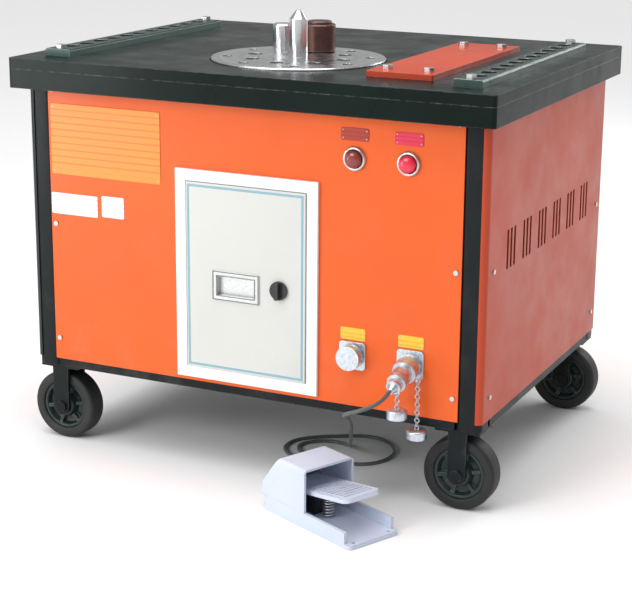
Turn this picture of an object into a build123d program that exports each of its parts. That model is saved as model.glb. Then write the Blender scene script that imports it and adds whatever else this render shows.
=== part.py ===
from build123d import *
import math
import os

# Rebar bending machine on wheels, with a foot switch on a cable. Millimetres.
# Sizes are given with the machine centred on X = Y = 0, X to the right, Y to the back, floor at Z = 0.

# Table
table_length = 950.0
table_depth = 740.0
table_height = 745.0
plate_thickness = 20.0
table_corner = 8.0
skirt_height = 35.0
skirt_thickness = 8.0

# Cabinet and its welded frame
cabinet_length = 912.0
cabinet_depth = 672.0
sheet = 2.0
fold_radius = 12.0
fold_return = 12.0
post_size = 48.0
post_wall = 4.0
rail_height = 40.0
panel_gap_low = 16.0
panel_gap_high = 37.0
front_panel_length = 824.0
vent_size = (9.0, 70.0)
vent_pitch = 18.0

# Door in the front panel
door_x = 2.5
door_z = 371.0
door_frame_size = (285.0, 390.0)
door_border = 21.0
door_frame_proud = 6.0
door_gap = 1.0
door_thickness = 10.0
door_proud = 3.0
door_pin_radius = 1.5
door_pin_length = 16.0
pull_size = (96.0, 56.0)
pull_x = -15.0
pull_z = 359.0
pull_rim = 7.0
pull_depth = 8.0
lock_x = 72.0
lock_z = 364.0
lock_knob_radius = 17.0
lock_shaft_radius = 6.0
cam_length = 66.0
cam_width = 14.0
cam_thickness = 3.0

# Controls and plates on the front
button_x = (212.0, 312.0)
button_z = 613.0
button_radius = 15.0
button_travel = 4.0
bezel_radius = 21.0
bezel_proud = 6.0
button_plate_size = (52.0, 22.0)
button_plate_z = 655.0
socket_x = (213.0, 323.0)
socket_z = 262.0
socket_flange = 50.0
socket_flange_thickness = 4.0
socket_collar_radius = 19.0
socket_collar_length = 16.0
socket_plate_size = (48.0, 22.0)
socket_plate_z = 301.0
instruction_plate_box = (-407.0, -173.0, 530.0, 662.0)
name_plate_boxes = ((-410.0, -309.0, 454.0, 494.0), (-300.0, -252.0, 457.0, 497.0))
plate_sheet = 1.0
plug_droop = 15.0
plug_length = 74.0
plug_clamp_end = 60.0
plug_radius = 17.0
plug_ring_radius = 21.5
cap_radius = 18.0
cap_length = 16.0
chain_wire = 1.1
chain_link = 10.0
chain_arm_radius = 1.2
socket_cap_links = 12
socket_cap_x = 346.0
socket_cap_y = -358.0
socket_cap_z = 242.0
plug_cap_links = 4

# Work disc and bending tools
disc_y = -125.0
disc_radius = 162.0
disc_thickness = 20.0
disc_proud = 4.0
disc_gap = 2.0
disc_hole_radius = 14.0
disc_hole_circle = 90.0
disc_outer_circle = 132.0
disc_holes = 8
mandrel_radius = 17.0
mandrel_height = 70.0
mandrel_nose = 16.0
spigot_radius = 15.0
roller_radius = 30.0
roller_height = 52.0
tool_pin_radius = 13.9
back_pin_radius = 20.0
back_pin_height = 52.0

# Stop block and pin bars on the table
stop_block_box = (200.0, 325.0, -270.0, 180.0)
stop_block_height = 10.0
pin_bar_x = 404.0
pin_bar_width = 54.0
pin_bar_y = (-312.0, 262.0)
pin_bar_height = 14.0
pin_bar_holes = 11
pin_bar_hole_radius = 15.0
bolt_radius = 6.0
bolt_room = 0.3

# Wheels
wheel_x = 410.0
wheel_y = 299.0
wheel_radius = 66.5
wheel_top_gap = 19.0
wheel_width = 42.0
tyre_depth = 20.0
axle_radius = 8.0
fork_gap = 3.5
fork_sheet = 5.0
running = 0.05
snug = 0.02

# Drive
main_module = 3.5
main_teeth = 80
lay_pinion_teeth = 18
first_module = 2.5
first_teeth = 72
first_pinion_teeth = 18
main_face = (660.0, 700.0)
first_face = (620.0, 645.0)
gear_room = 8.0
case_wall = 8.0
case_bottom = (600.0, 612.0)
cover_thickness = 12.0
main_shaft_radius = 25.0
lay_shaft_radius = 15.0
input_shaft_radius = 12.0
bearing_wall = 10.0
pulley_face = (560.0, 590.0)
driven_pulley_radius = 105.0
motor_pulley_radius = 35.0
belt_height = 14.0
belt_thickness = 9.0
motor_x = -230.0
motor_radius = 82.0
motor_fin = 7.0
motor_span = (250.0, 520.0)
motor_shaft_radius = 14.0
bracket_sheet = 10.0

# Foot switch, in its own frame: u along its length, v across it
pedal_corner = (99.0, -464.0)
pedal_angle = -25.0
pedal_length = 238.0
pedal_width = 110.0
pedal_plate = 8.0
pedal_fillet = 8.0
pedal_wall = 6.0
pedal_wall_height = 28.0
pedal_screw_radius = 3.0
hood_length = 118.0
hood_height = 105.0
hood_slope = 45.0
hood_wall = 4.0
treadle_hinge = (40.0, 46.0)
treadle_width = 80.0
treadle_length = 172.0
treadle_thickness = 8.0
treadle_tilt = 8.0
treadle_pin_radius = 4.0
gland_u = 22.0
gland_z = 14.0
gland_radius = 8.0
gland_length = 18.0

# Cable of the foot switch: its points from the plug's boot to the gland, chosen by hand
cord_radius = 3.5
cord_points = [
    (323, -427, 239), (323, -450, 232.7), (316, -474, 227), (295, -489, 219), (269, -482, 208),
    (251, -458, 195), (239, -424, 180), (227, -388, 165), (215, -350, 144), (200, -310, 118),
    (180, -266, 86), (160, -222, 56), (138, -178, 30), (117, -140, 12), (95, -118, 4.5),
    (70, -114, 3.5), (38, -131, 3.5), (21, -163, 3.5), (39, -194, 3.5), (78, -201, 3.5),
    (118, -202, 3.5), (158, -211, 3.5), (193, -190, 3.5), (210, -150, 3.5), (202, -104, 3.5),
    (168, -66, 3.5), (124, -55, 3.5), (80, -78, 3.5), (36, -105, 3.5), (4, -138, 3.5),
    (-1, -180, 3.5), (22, -213, 3.5), (60, -230, 3.5), (98, -251, 3.5), (138, -270, 4),
    (176, -290, 8), (187, -327, 14), (173, -357, 14),
]

# Worked-out places
panel_x = cabinet_length / 2
panel_y = cabinet_depth / 2
plate_bottom = table_height - plate_thickness
cabinet_bottom = 2 * wheel_radius + wheel_top_gap
disc_top = table_height + disc_proud
disc_bottom = disc_top - disc_thickness
lay_y = disc_y + main_module * (main_teeth + lay_pinion_teeth) / 2
input_y = lay_y + first_module * (first_teeth + first_pinion_teeth) / 2
case_top = plate_bottom - cover_thickness
front = -panel_y
leaf_front = front - door_frame_proud - door_proud
leaf_back = leaf_front + door_thickness
leaf_middle = (leaf_front + leaf_back) / 2
leaf_size = (door_frame_size[0] - 2 * door_border - 2 * door_gap,
             door_frame_size[1] - 2 * door_border - 2 * door_gap)
door_axis_x = door_x - leaf_size[0] / 2 + door_thickness / 2
droop = math.radians(plug_droop)
plug_axis = Vector(0, -math.cos(droop), -math.sin(droop))
plug_start = Vector(socket_x[1], front, socket_z) + plug_axis * (socket_flange_thickness + socket_collar_length)
plug_tail = plug_start + plug_axis * plug_length

# The row's origin is under the middle of the whole footprint, foot switch included.
turn = math.radians(pedal_angle)
pedal_front = (pedal_corner[1] + (pedal_length - pedal_fillet) * math.sin(turn)
               + pedal_fillet * math.cos(turn) - pedal_fillet)
row_shift = -(pedal_front + table_depth / 2) / 2
pedal_place = Pos(pedal_corner[0], pedal_corner[1], 0) * Rot(0, 0, pedal_angle)


def block(x0, x1, y0, y1, z0, z1):
    return Pos((x0 + x1) / 2, (y0 + y1) / 2, (z0 + z1) / 2) * Box(x1 - x0, y1 - y0, z1 - z0)


def post(x, y, z0, z1, radius):
    return Pos(x, y, (z0 + z1) / 2) * Cylinder(radius, z1 - z0)


def rod_y(x, z, y0, y1, radius):
    return Pos(x, (y0 + y1) / 2, z) * Rot(90, 0, 0) * Cylinder(radius, y1 - y0)


def plate(length, depth, z0, z1, radius, x=0, y=0):
    return Pos(x, y, z0) * extrude(RectangleRounded(length, depth, radius), z1 - z0)


def corners(x, y):
    return [(sx * x, sy * y) for sx in (-1, 1) for sy in (-1, 1)]


def group(shapes):
    return Compound(children=[solid for shape in shapes for solid in shape.solids()])


def base_frame():
    far_x, far_y = panel_x - sheet, panel_y - sheet
    near_x, near_y = far_x - post_size, far_y - post_size
    tubes = []
    for x, y in corners((far_x + near_x) / 2, (far_y + near_y) / 2):
        outside = RectangleRounded(post_size, post_size, fold_radius)
        inside = RectangleRounded(post_size - 2 * post_wall, post_size - 2 * post_wall, fold_radius - post_wall)
        tubes.append(Pos(x, y, cabinet_bottom) * extrude(outside - inside, plate_bottom - cabinet_bottom))
    for z in (cabinet_bottom, plate_bottom - rail_height):
        for side in (-1, 1):
            y = sorted((side * far_y, side * near_y))
            x = sorted((side * far_x, side * near_x))
            tubes.append(tube_rail(-near_x, near_x, *y, z, along_x=True))
            tubes.append(tube_rail(*x, -near_y, near_y, z, along_x=False))
    return group(tubes)


def tube_rail(x0, x1, y0, y1, z, along_x):
    w = post_wall
    outer = block(x0, x1, y0, y1, z, z + rail_height)
    if along_x:
        return outer - block(x0, x1, y0 + w, y1 - w, z + w, z + rail_height - w)
    return outer - block(x0 + w, x1 - w, y0, y1, z + w, z + rail_height - w)


def side_panel(side):
    z0, z1 = cabinet_bottom + panel_gap_low, table_height - panel_gap_high
    outline = RectangleRounded(2 * fold_return + 2, cabinet_depth, fold_radius)
    inner = RectangleRounded(2 * fold_return + 2 - 2 * sheet, cabinet_depth - 2 * sheet, fold_radius - sheet)
    ring = Pos(panel_x - fold_return - 1, 0, z0) * extrude(outline - inner, z1 - z0)
    shell = ring - block(0, panel_x - fold_return, -table_depth, table_depth, z0, z1)
    for cluster in range(6):
        for slot in (-1, 0, 1):
            y = (cluster - 2.5) * 85 + slot * vent_pitch
            shell -= block(panel_x - 2 * sheet, panel_x + sheet, y - vent_size[0] / 2, y + vent_size[0] / 2,
                           458 - vent_size[1] / 2, 458 + vent_size[1] / 2)
    return shell if side > 0 else mirror(shell, about=Plane.YZ)


def floor_pan():
    half_x, half_y = panel_x - sheet - post_size, panel_y - sheet - post_size
    return block(-half_x, half_x, -half_y, half_y, cabinet_bottom, cabinet_bottom + sheet)


def flat_panel(y0, y1):
    half = front_panel_length / 2
    return block(-half, half, y0, y1, cabinet_bottom + panel_gap_low, table_height - panel_gap_high)


def front_panel():
    panel = flat_panel(front, front + sheet)
    opening = [size - 2 * door_border for size in door_frame_size]
    panel -= Pos(door_x, front, door_z) * Box(opening[0], 6 * sheet, opening[1])
    for x in button_x:
        panel -= rod_y(x, button_z, front - sheet, front + 2 * sheet, button_radius - 4)
    for x in socket_x:
        panel -= rod_y(x, socket_z, front - sheet, front + 2 * sheet, socket_collar_radius - 3)
    return panel


def table_plate():
    top = plate(table_length, table_depth, plate_bottom, table_height, table_corner)
    top -= post(0, disc_y, plate_bottom, table_height, disc_radius + disc_gap)
    for x, y in stop_bolt_places() + bar_bolt_places():
        top -= post(x, y, plate_bottom, table_height, bolt_radius + bolt_room)
    return top


def table_skirt():
    z0 = plate_bottom - skirt_height
    outside = plate(table_length, table_depth, z0, plate_bottom, table_corner)
    return outside - block(skirt_thickness - table_length / 2, table_length / 2 - skirt_thickness,
                           skirt_thickness - table_depth / 2, table_depth / 2 - skirt_thickness, z0, plate_bottom)


def door_frame():
    width, height = door_frame_size
    outer = Pos(door_x, front - door_frame_proud / 2, door_z) * Box(width, door_frame_proud, height)
    frame = outer - Pos(door_x, front, door_z) * Box(width - 2 * door_border, 4 * door_frame_proud,
                                                      height - 2 * door_border)
    for pin in door_pin_solids():
        frame -= pin
    return frame


def door_pin_solids():
    reach = leaf_size[1] / 2 + door_gap
    low, high = door_z - reach, door_z + reach
    half = door_pin_length / 2
    return [post(door_axis_x, leaf_middle, z - half, z + half, door_pin_radius) for z in (low, high)]


def door_leaf():
    width, height = leaf_size
    z0, z1 = door_z - height / 2, door_z + height / 2
    x1 = door_x + width / 2
    body = block(door_axis_x, x1, leaf_front, leaf_back, z0, z1)
    body += post(door_axis_x, leaf_middle, z0, z1, door_thickness / 2)
    body -= block(door_axis_x + 6, x1 - sheet, leaf_front + sheet, leaf_back, z0 + 12, z1 - 12)
    for z in (z0, z1):
        hole = door_pin_length / 2 - door_gap + 1
        body -= post(door_axis_x, leaf_middle, z - hole, z + hole, door_pin_radius + running)
    body -= Pos(pull_x, leaf_front, pull_z) * Box(pull_size[0] - 2 * pull_rim, 3 * sheet, pull_size[1] - 2 * pull_rim)
    body -= rod_y(lock_x, lock_z, leaf_front - 1, leaf_back + 1, lock_shaft_radius + running)
    return body


def door_pull():
    width, height = pull_size
    cup = (width - 2 * pull_rim, height - 2 * pull_rim)
    rim = Pos(pull_x, leaf_front - 1, pull_z) * Box(width, 2, height)
    rim = fillet(rim.edges().filter_by(Axis.Y), 6)
    shell = rim + Pos(pull_x, leaf_front + pull_depth / 2, pull_z) * Box(cup[0], pull_depth, cup[1])
    return shell - Pos(pull_x, leaf_front + pull_depth / 2 - 3, pull_z) * Box(cup[0] - 3, pull_depth + 3, cup[1] - 3)


def lock_knob():
    knob = rod_y(lock_x, lock_z, leaf_front - 5, leaf_front - 0.5, lock_knob_radius)
    grip = Pos(lock_x, leaf_front - 9.5, lock_z) * Box(8, 10, 2 * lock_knob_radius - 4)
    shaft = rod_y(lock_x, lock_z, leaf_front - 1, front + sheet + 5, lock_shaft_radius)
    return knob + fillet(grip.edges().filter_by(Axis.Y), 3) + shaft


def lock_cam():
    y0 = front + sheet + 1
    bar = Pos(lock_x, y0 + cam_thickness / 2, lock_z - cam_length / 2 + cam_width / 2) * Box(
        cam_width, cam_thickness, cam_length)
    return bar - rod_y(lock_x, lock_z, y0 - 1, y0 + cam_thickness + 1, lock_shaft_radius)


def front_plate(x0, x1, z0, z1):
    body = block(x0, x1, front - plate_sheet, front, z0, z1)
    return fillet(body.edges().filter_by(Axis.Y), 3)


def centred_plate(x, z, size):
    return front_plate(x - size[0] / 2, x + size[0] / 2, z - size[1] / 2, z + size[1] / 2)


def button_bezel(x):
    ring = rod_y(x, button_z, front - bezel_proud, front, bezel_radius)
    return ring - rod_y(x, button_z, front - 2 * bezel_proud, front + 1, button_radius + 0.6)


def push_button(x):
    cap = rod_y(x, button_z, front - bezel_proud - 6, front - button_travel - 0.5, button_radius)
    cap = fillet(cap.edges().sort_by(Axis.Y)[0], 3)
    return cap + rod_y(x, button_z, front - button_travel - 1, front + sheet + 8, button_radius - 5)


def switch_block(x):
    y0 = front + sheet
    body = block(x - 20, x + 20, y0, y0 + 48, button_z - 20, button_z + 20)
    return body - rod_y(x, button_z, y0 - 1, y0 + 8 + button_travel + 1, button_radius - 4.4)


def socket(x, axis):
    base = Pos(x, front - socket_flange_thickness / 2, socket_z) * Box(
        socket_flange, socket_flange_thickness, socket_flange)
    base = fillet(base.edges().filter_by(Axis.Y), 6)
    start = Vector(x, front, socket_z)
    length = socket_flange_thickness + socket_collar_length
    collar = along(start, axis, length, socket_collar_radius)
    body = base + collar
    behind = rod_y(x, socket_z, front - 1, front + sheet + 20, socket_collar_radius - 3)
    body += behind
    keep = block(x - 60, x + 60, front - 80, front, socket_z - 60, socket_z + 60) + behind
    mouth = start + axis * length
    return (body & keep) - along(mouth - axis * 12, axis, 20, socket_collar_radius - 4)


def along(start, axis, length, radius):
    plane = Plane(origin=start, z_dir=axis)
    return plane * Pos(0, 0, length / 2) * Cylinder(radius, length)


def closed_cap(mouth, axis):
    skirt = along(mouth - axis * 8, axis, 8, socket_collar_radius + 3)
    skirt -= along(mouth - axis * 8, axis, 8, socket_collar_radius)
    return skirt + along(mouth, axis, 5, socket_collar_radius + 3)


def plug_body():
    ring = along(plug_start - plug_axis * 8, plug_axis, 20, plug_ring_radius)
    ring -= along(plug_start - plug_axis * 8, plug_axis, 8, socket_collar_radius)
    nose = along(plug_start - plug_axis * 8, plug_axis, 10, socket_collar_radius - 5)
    barrel = along(plug_start + plug_axis * 12, plug_axis, plug_clamp_end - 26, plug_radius)
    clamp = along(plug_start + plug_axis * (plug_clamp_end - 14), plug_axis, 14, plug_radius - 4)
    top = plug_cap_top()
    stub = post(top.X, top.Y + 5, top.Z - 2.2, top.Z + plug_radius, 2)
    arm = rod_y(top.X, top.Z, top.Y - 3, top.Y + 5, chain_arm_radius)
    return ring + nose + barrel + clamp + stub + arm


def plug_cap_top():
    return plug_start + plug_axis * 30 + Vector(-4, 0, -plug_radius - 7)


def plug_boot():
    start = plug_start + plug_axis * plug_clamp_end
    length = plug_length - plug_clamp_end
    return Plane(origin=start, z_dir=plug_axis) * Pos(0, 0, length / 2) * Cone(10, cord_radius + 1.5, length)


def hanging_cap(top, links):
    """Cap on a chain whose first link hangs on an arm along Y with its middle at top."""
    inner = chain_link / 2 - 2 * chain_wire
    pitch = chain_link - 2 * chain_wire - 0.6
    first = top.Z + chain_arm_radius + 0.2 - inner
    pieces = []
    for index in range(links):
        face = Rot(90, 0, 0) if index % 2 == 0 else Rot(0, 90, 0)
        place = Pos(top.X, top.Y, first - index * pitch)
        pieces.append(place * face * Torus(chain_link / 2 - chain_wire, chain_wire))
    face = Rot(90, 0, 0) if links % 2 == 0 else Rot(0, 90, 0)
    eye_z = first - (links - 1) * pitch - pitch * 0.86
    cap_top = eye_z - 3
    cup = post(top.X, top.Y, cap_top - cap_length, cap_top, cap_radius)
    cup = fillet(cup.edges().sort_by(Axis.Z)[-1], 4)
    cup -= post(top.X, top.Y, cap_top - cap_length, cap_top - 4, cap_radius - 3)
    return [cup + Pos(top.X, top.Y, eye_z) * face * Torus(3.6, chain_wire)] + pieces


def right_socket():
    arm = rod_y(socket_cap_x, socket_cap_z, socket_cap_y - 3, front - 1, chain_arm_radius)
    knob = rod_y(socket_cap_x, socket_cap_z, socket_cap_y - 5, socket_cap_y - 3, chain_arm_radius + 1)
    return socket(socket_x[1], plug_axis) + arm + knob


def work_disc():
    disc = post(0, disc_y, disc_bottom, disc_top, disc_radius)
    disc = chamfer(disc.edges().filter_by(GeomType.CIRCLE), 2)
    for index in range(disc_holes):
        for circle, offset in ((disc_hole_circle, 0), (disc_outer_circle, 0.5)):
            angle = math.radians((index + offset) * 360 / disc_holes)
            radius = disc_hole_radius if circle == disc_hole_circle else disc_hole_radius - 4
            disc -= post(circle * math.cos(angle), disc_y + circle * math.sin(angle),
                         disc_bottom, disc_top, radius)
    return disc - post(0, disc_y, disc_bottom, disc_top, spigot_radius + running)


def disc_point(degrees):
    angle = math.radians(degrees)
    return disc_hole_circle * math.cos(angle), disc_y + disc_hole_circle * math.sin(angle)


def centre_mandrel():
    body = post(0, disc_y, disc_top, disc_top + mandrel_height, mandrel_radius)
    nose = Pos(0, disc_y, disc_top + mandrel_height + mandrel_nose / 2) * Cone(mandrel_radius, 5, mandrel_nose)
    return body + nose + post(0, disc_y, disc_bottom - 10, disc_top, spigot_radius)


def roller_pin():
    x, y = disc_point(90)
    top = disc_top + roller_height + 1
    head = post(x, y, top, top + 5, tool_pin_radius + 9)
    return chamfer(head.edges().sort_by(Axis.Z)[-1], 1.5) + post(x, y, disc_bottom + 1, top, tool_pin_radius)


def forming_roller():
    x, y = disc_point(90)
    body = post(x, y, disc_top + 0.5, disc_top + roller_height + 0.5, roller_radius)
    body = chamfer(body.edges().filter_by(GeomType.CIRCLE), 2)
    return body - post(x, y, disc_top, disc_top + roller_height + 1, tool_pin_radius + running)


def back_pin():
    x, y = disc_point(135)
    head = post(x, y, disc_top, disc_top + back_pin_height, back_pin_radius)
    return chamfer(head.edges().sort_by(Axis.Z)[-1], 3) + post(x, y, disc_bottom + 1, disc_top, tool_pin_radius)


def stop_bolt_places():
    x0, x1, y0, y1 = stop_block_box
    return [(x, y) for x in (x0 + 24, x1 - 24) for y in (y0 + 40, y1 - 40)]


def bar_bolt_places():
    return [(side * pin_bar_x, y) for side in (-1, 1) for y in (pin_bar_y[0] + 14, pin_bar_y[1] - 14)]


def stop_block():
    x0, x1, y0, y1 = stop_block_box
    body = block(x0, x1, y0, y1, table_height, table_height + stop_block_height)
    body = chamfer(body.edges().filter_by(Axis.Z), 3)
    for x, y in stop_bolt_places():
        body -= post(x, y, table_height, table_height + stop_block_height, bolt_radius + bolt_room)
    return body


def table_bolts():
    tops = [(place, table_height + stop_block_height) for place in stop_bolt_places()]
    tops += [(place, table_height + pin_bar_height) for place in bar_bolt_places()]
    bolts = []
    for (x, y), z in tops:
        head = Pos(x, y, z) * extrude(RegularPolygon(10, 6), 7)
        bolts.append(head + post(x, y, plate_bottom, z, bolt_radius))
    return bolts


def pin_bar(side):
    x = side * pin_bar_x
    y0, y1 = pin_bar_y
    bar = block(x - pin_bar_width / 2, x + pin_bar_width / 2, y0, y1, table_height, table_height + pin_bar_height)
    bar = chamfer(bar.edges().filter_by(Axis.Y).group_by(Axis.Z)[-1], 3)
    for place in bar_bolt_places():
        if place[0] * side > 0:
            bar -= post(*place, table_height, table_height + pin_bar_height, bolt_radius + bolt_room)
    pitch = (y1 - y0 - 56) / pin_bar_holes
    for index in range(pin_bar_holes):
        y = y0 + 28 + pitch * (index + 0.5)
        bar -= post(x, y, table_height, table_height + pin_bar_height, pin_bar_hole_radius)
    return bar


def wheel_tyre(x, y):
    tyre = rod_y(x, wheel_radius, y - wheel_width / 2, y + wheel_width / 2, wheel_radius)
    tyre = fillet(tyre.edges().filter_by(GeomType.CIRCLE), 6)
    return tyre - rod_y(x, wheel_radius, y - wheel_width, y + wheel_width, wheel_radius - tyre_depth)


def wheel_hub(x, y):
    radius = wheel_radius - tyre_depth
    hub = rod_y(x, wheel_radius, y - wheel_width / 2 + 5, y + wheel_width / 2 - 5, radius)
    for side in (-1, 1):
        face = y + side * (wheel_width / 2 - 5)
        dish = rod_y(x, wheel_radius, face - 5, face + 5, radius - 6)
        hub -= dish - rod_y(x, wheel_radius, face - 5, face + 5, axle_radius + 10)
    hub += rod_y(x, wheel_radius, y - wheel_width / 2 - 1, y + wheel_width / 2 + 1, axle_radius + 8)
    return hub - rod_y(x, wheel_radius, y - wheel_width, y + wheel_width, axle_radius + running)


def wheel_fork(x, y):
    reach = wheel_width / 2 + fork_gap
    top = block(x - 42, x + 42, y - reach - fork_sheet, y + reach + fork_sheet,
                cabinet_bottom - 6, cabinet_bottom)
    for side in (-1, 1):
        y0, y1 = sorted((y + side * reach, y + side * (reach + fork_sheet)))
        cheek = block(x - 17, x + 17, y0, y1, wheel_radius, cabinet_bottom - 6)
        cheek += rod_y(x, wheel_radius, y0, y1, 17)
        top += cheek
    return top - rod_y(x, wheel_radius, y - 2 * reach, y + 2 * reach, axle_radius)


def wheel_axle(x, y):
    reach = wheel_width / 2 + fork_gap + fork_sheet
    shaft = rod_y(x, wheel_radius, y - reach, y + reach, axle_radius)
    for side in (-1, 1):
        face = y + side * (reach + 2.5)
        shaft += rod_y(x, wheel_radius, face - 2.5, face + 2.5, axle_radius + 3)
    return shaft


def gear(teeth, module, z0, z1, bore, x, y, phase):
    """Spur gear with 20 degree involute flanks; phase is the angle of a tooth's middle, in degrees."""
    pitch_radius = module * teeth / 2
    base = pitch_radius * math.cos(math.radians(20))
    tip = pitch_radius + 0.9 * module
    root = pitch_radius - 1.25 * module
    half_tooth = math.pi / (2 * teeth) - 0.12 / pitch_radius
    involute = math.tan(math.radians(20)) - math.radians(20)
    flank = []
    for step in range(5):
        radius = max(base, root) + (tip - max(base, root)) * step / 4
        pressure = math.acos(min(1, base / radius))
        flank.append((radius, half_tooth + involute - math.tan(pressure) + pressure))
    if root < base:
        flank.insert(0, (root, flank[0][1]))
    outline = []
    for index in range(teeth):
        middle = math.radians(phase) + 2 * math.pi * index / teeth
        for radius, half in flank:
            outline.append((radius * math.cos(middle - half), radius * math.sin(middle - half)))
        for radius, half in reversed(flank):
            outline.append((radius * math.cos(middle + half), radius * math.sin(middle + half)))
    face = make_face(Polyline(*outline, close=True))
    body = Pos(x, y, z0) * extrude(face, z1 - z0, dir=(0, 0, 1))
    return body - post(x, y, z0, z1, bore)


def case_outline(extra):
    circles = [
        Pos(0, disc_y) * Edge.make_circle(main_module * (main_teeth / 2 + 1) + extra),
        Pos(0, lay_y) * Edge.make_circle(first_module * (first_teeth / 2 + 1) + extra),
        Pos(0, input_y) * Edge.make_circle(first_module * (first_pinion_teeth / 2 + 1) + extra),
    ]
    return make_hull(circles)


def raise_face(face, z0, z1):
    return Pos(0, 0, z0) * extrude(face, z1 - z0, dir=(0, 0, 1))


def shaft_places():
    return ((disc_y, main_shaft_radius), (lay_y, lay_shaft_radius), (input_y, input_shaft_radius))


def gear_case():
    case = raise_face(case_outline(gear_room + case_wall), case_bottom[0], case_top)
    case -= raise_face(case_outline(gear_room), case_bottom[1], case_top)
    for y, radius in shaft_places():
        case -= post(0, y, *case_bottom, radius + bearing_wall + snug)
    return case


def gear_cover():
    cover = raise_face(case_outline(gear_room + case_wall), case_top, plate_bottom)
    for y, radius in shaft_places():
        cover -= post(0, y, case_top, plate_bottom, radius + bearing_wall + snug)
    return cover


def shaft_bearings():
    rings = []
    for y, radius in shaft_places():
        for z0, z1 in (case_bottom, (case_top, plate_bottom)):
            ring = post(0, y, z0, z1, radius + bearing_wall)
            rings.append(ring - post(0, y, z0, z1, radius + running))
    return rings


def main_shaft():
    shaft = post(0, disc_y, case_bottom[0] + 0.5, disc_bottom, main_shaft_radius)
    return shaft - post(0, disc_y, disc_bottom - 10, disc_bottom, spigot_radius + running)


def pulley(x, y, radius, bore):
    z0, z1 = pulley_face
    body = post(x, y, z0, z1, radius)
    groove = post(x, y, z0 + 7, z1 - 7, radius + 1) - post(x, y, z0 + 7, z1 - 7, radius - belt_thickness - 1)
    return body - groove - post(x, y, z0, z1, bore)


def v_belt():
    def loop(inset):
        return make_hull([
            Pos(0, input_y) * Edge.make_circle(driven_pulley_radius - inset),
            Pos(motor_x, input_y) * Edge.make_circle(motor_pulley_radius - inset),
        ])
    middle = sum(pulley_face) / 2
    z0, z1 = middle - belt_height / 2, middle + belt_height / 2
    return raise_face(loop(0), z0, z1) - raise_face(loop(belt_thickness), z0, z1)


def motor_body():
    z0, z1 = motor_span
    body = post(motor_x, input_y, z0, z1, motor_radius)
    for index in range(16):
        fin = Pos(motor_radius + motor_fin / 2 - 1, 0, (z0 + z1) / 2) * Box(motor_fin + 2, 5, z1 - z0 - 50)
        body += Pos(motor_x, input_y, 0) * Rot(0, 0, index * 22.5) * fin
    body += post(motor_x, input_y, z1 - 12, z1, motor_radius + 14)
    return body - post(motor_x, input_y, z1 - 60, z1, motor_shaft_radius + 0.5)


def motor_fan_cover():
    z0 = motor_span[0]
    cover = post(motor_x, input_y, z0 - 45, z0, motor_radius - 2)
    cover = fillet(cover.edges().sort_by(Axis.Z)[0], 10)
    return cover - post(motor_x, input_y, z0 - 41, z0, motor_radius - 5)


def motor_terminal_box():
    x0 = motor_x - motor_radius - 44
    return block(x0, x0 + 50, input_y - 45, input_y + 45, 370, 450) - motor_body()


def motor_shaft():
    return post(motor_x, input_y, motor_span[1] - 50, pulley_face[1], motor_shaft_radius)


def motor_bracket():
    z0 = motor_span[1]
    x0 = motor_x - 108
    shelf = block(x0, motor_x + 100, input_y - 98, input_y + 98, z0, z0 + bracket_sheet)
    shelf -= post(motor_x, input_y, z0, z0 + bracket_sheet, motor_shaft_radius + 12)
    back = block(x0, x0 + bracket_sheet, input_y - 98, input_y + 98, z0, plate_bottom)
    return shelf + back


def pedal_base():
    inset = pedal_fillet
    base = plate(pedal_length, pedal_width, 0, pedal_plate, inset, pedal_length / 2, pedal_width / 2)
    base += block(0, pedal_wall, inset, pedal_width - inset, pedal_plate - 1, pedal_wall_height)
    for v0 in (0, pedal_width - pedal_wall):
        wall = block(inset, pedal_length - 14, v0, v0 + pedal_wall, pedal_plate - 1, pedal_wall_height)
        base += wall
    for v0 in (pedal_wall, pedal_width - 2 * pedal_wall):
        u, z = treadle_hinge
        ear = block(u - 12, u + 12, v0, v0 + pedal_wall, pedal_plate - 1, z)
        ear += Pos(u, v0 + pedal_wall / 2, z) * Rot(90, 0, 0) * Cylinder(12, pedal_wall)
        base += ear
    base -= Pos(treadle_hinge[0], pedal_width / 2, treadle_hinge[1]) * Rot(90, 0, 0) * Cylinder(
        treadle_pin_radius, pedal_width - 2 * pedal_wall)
    base -= pedal_gland_core()
    for v in (16, pedal_width - 16):
        base -= post(pedal_length - 9, v, 0, pedal_plate, pedal_screw_radius)
    return base


def pedal_gland_core():
    return rod_y(gland_u, gland_z, pedal_width - pedal_wall - 6, pedal_width + 1, gland_radius - 3)


def pedal_gland():
    start = pedal_width
    nut = Pos(gland_u, start + 4, gland_z) * Rot(90, 0, 0) * extrude(RegularPolygon(gland_radius, 6), 4, both=True)
    nose = rod_y(gland_u, gland_z, start + 8, start + gland_length, cord_radius + 2)
    return nut + nose + pedal_gland_core()


def pedal_hood():
    z0, z1 = pedal_wall_height, hood_height
    points = [(0, z0), (0, z0 + 22), (hood_slope, z1), (hood_length, z1), (hood_length, z0)]
    side = make_face(Polyline(*points, close=True))
    solid = extrude(Plane.XZ * side, pedal_width, dir=(0, 1, 0))
    w = hood_wall
    inner = [(w, z0 - 1), (w, z0 + 20), (hood_slope + 2, z1 - w), (hood_length + 1, z1 - w), (hood_length + 1, z0 - 1)]
    room = extrude(Plane.XZ * make_face(Polyline(*inner, close=True)), pedal_width - 2 * w, dir=(0, 1, 0))
    room = Pos(0, w, 0) * room
    top = fillet(solid.edges().filter_by(Axis.X).group_by(Axis.Z)[-1], 8)
    return top - room


def treadle_local(shape):
    u, z = treadle_hinge
    return Pos(u, 0, z) * Rot(0, -treadle_tilt, 0) * Pos(-u, 0, -z) * shape


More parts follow.
